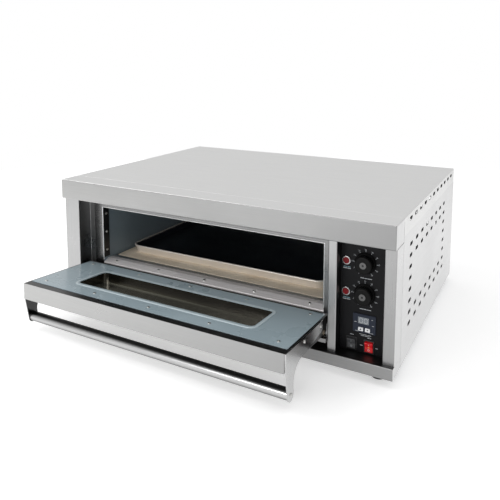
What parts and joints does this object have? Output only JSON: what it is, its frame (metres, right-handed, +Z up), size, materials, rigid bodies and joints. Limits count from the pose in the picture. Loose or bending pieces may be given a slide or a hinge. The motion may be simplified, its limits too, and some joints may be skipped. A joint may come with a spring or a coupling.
{
  "type": "countertop pizza oven",
  "caption": "Electric single-deck countertop pizza oven with a drop-down glazed door, stone deck, baking tray and control panel.",
  "frame": {"origin": "on the worktop plane, at the middle of the box that holds the whole oven at rest with its door open", "axes": "+Z up from the worktop, +X to the right as the user faces the door, +Y from the door towards the back"},
  "size_m": [0.92, 0.8754, 0.345],
  "materials": {
    "stainless_brushed": "brushed stainless sheet",
    "galvanised_sheet": "plain galvanised sheet",
    "stainless_polished": "polished stainless",
    "chamber_steel": "heat-darkened aluminised steel",
    "channel_steel": "reflective steel window channel",
    "foot_rubber": "black rubber",
    "black_plastic": "matt black moulding",
    "black_coated_strip": "black heat-proof coating",
    "zinc_screws": "bright plated screws",
    "lamp_glass": "frosted lamp glass",
    "refractory_stone": "cordierite baking stone",
    "element_sheath": "dark heater sheath",
    "mineral_wool": "mineral wool",
    "black_panel": "satin black panel",
    "chrome_bezel": "bright ring",
    "red_lens": "red lens",
    "knob_plastic": "black phenolic",
    "spindle_aluminium": "turned aluminium disc",
    "timer_face": "dark blue faceplate",
    "button_white": "white button",
    "rocker_grey": "dark grey rocker",
    "rocker_red": "red rocker",
    "hinge_brass": "plated bushing",
    "tray_aluminium": "satin aluminium",
    "enamel_blue_grey": "blue-grey enamel",
    "window_glass": "toughened glass"
  },
  "bodies": {
    "cabinet": {"base_band": "stainless_brushed", "base_pan": "galvanised_sheet", "rubber_feet": "foot_rubber", "header_fascia": "stainless_brushed", "top_cover": "stainless_brushed", "side_panel_left": "stainless_brushed", "side_panel_right": "stainless_brushed", "rear_panel": "stainless_brushed", "cable_gland": "black_plastic", "front_post_left": "stainless_brushed", "front_post_right": "stainless_brushed", "divider_post": "stainless_brushed", "lower_front_panel": "stainless_brushed", "partition_panel": "galvanised_sheet", "chamber_front_frame": "stainless_polished", "sill_plate": "stainless_polished", "jamb_strips": "black_coated_strip", "frame_screws": "zinc_screws", "chamber_floor": "chamber_steel", "chamber_ceiling": "chamber_steel", "chamber_wall_left": "chamber_steel", "chamber_wall_right": "chamber_steel", "chamber_rear_wall": "chamber_steel", "chamber_lamp": "lamp_glass", "pizza_stone": "refractory_stone", "stone_rails": "galvanised_sheet", "heating_elements_top": "element_sheath", "heating_elements_bottom": "element_sheath", "insulation_blankets": "mineral_wool", "control_panel": "black_panel", "indicator_bezels": "chrome_bezel", "indicator_lamps": "red_lens", "thermostats": "black_plastic", "timer_faceplate": "timer_face", "timer_module": "black_plastic", "switch_housings": "black_plastic", "contactor": "black_plastic", "terminal_block": "black_plastic", "hinge_brackets": "stainless_polished", "hinge_pins": "stainless_polished"},
    "door": {"door_skin": "stainless_brushed", "door_inner_panel": "enamel_blue_grey", "door_panel_screws": "zinc_screws", "window_channel": "channel_steel", "window_glass": "window_glass", "glass_spacer": "black_plastic", "door_insulation": "mineral_wool", "handle_brackets": "stainless_polished", "handle_bar": "stainless_polished", "handle_screws": "zinc_screws", "hinge_bushings": "hinge_brass"},
    "upper_knob": {"temperature_knob_upper": "knob_plastic", "thermostat_spindle_upper": "spindle_aluminium"},
    "lower_knob": {"temperature_knob_lower": "knob_plastic", "thermostat_spindle_lower": "spindle_aluminium"},
    "power_switch": {"power_rocker": "rocker_red"},
    "light_switch": {"light_rocker": "rocker_grey"},
    "timer_up": {"timer_button_up": "button_white"},
    "timer_down": {"timer_button_down": "button_white"},
    "tray": {"baking_tray": "tray_aluminium"}
  },
  "joints": [
    {"name": "door_hinge", "type": "hinge", "parent": "cabinet", "child": "door", "pos_m": [0, -0.23134, 0.0795], "axis": [-1, 0, 0], "range_deg": [0, 86.23]},
    {"name": "upper_knob_turn", "type": "hinge", "parent": "cabinet", "child": "upper_knob", "pos_m": [0.3866, -0.21934, 0.244], "axis": [0, 1, 0], "range_deg": [0, 300]},
    {"name": "lower_knob_turn", "type": "hinge", "parent": "cabinet", "child": "lower_knob", "pos_m": [0.3866, -0.21934, 0.1754], "axis": [0, 1, 0], "range_deg": [0, 300]},
    {"name": "power_rocker_tilt", "type": "hinge", "parent": "cabinet", "child": "power_switch", "pos_m": [0.3985, -0.20734, 0.061], "axis": [-1, 0, 0], "range_deg": [0, 16]},
    {"name": "light_rocker_tilt", "type": "hinge", "parent": "cabinet", "child": "light_switch", "pos_m": [0.36, -0.20734, 0.062], "axis": [-1, 0, 0], "range_deg": [0, 16]},
    {"name": "timer_up_press", "type": "slide", "parent": "cabinet", "child": "timer_up", "axis": [0, 1, 0], "range_m": [0, 0.0012], "stiffness_N_per_m": 300},
    {"name": "timer_down_press", "type": "slide", "parent": "cabinet", "child": "timer_down", "axis": [0, 1, 0], "range_m": [0, 0.0012], "stiffness_N_per_m": 300},
    {"name": "tray_slide", "type": "slide", "parent": "cabinet", "child": "tray", "axis": [0, 1, 0], "range_m": [-0.165, 0]}
  ]
}
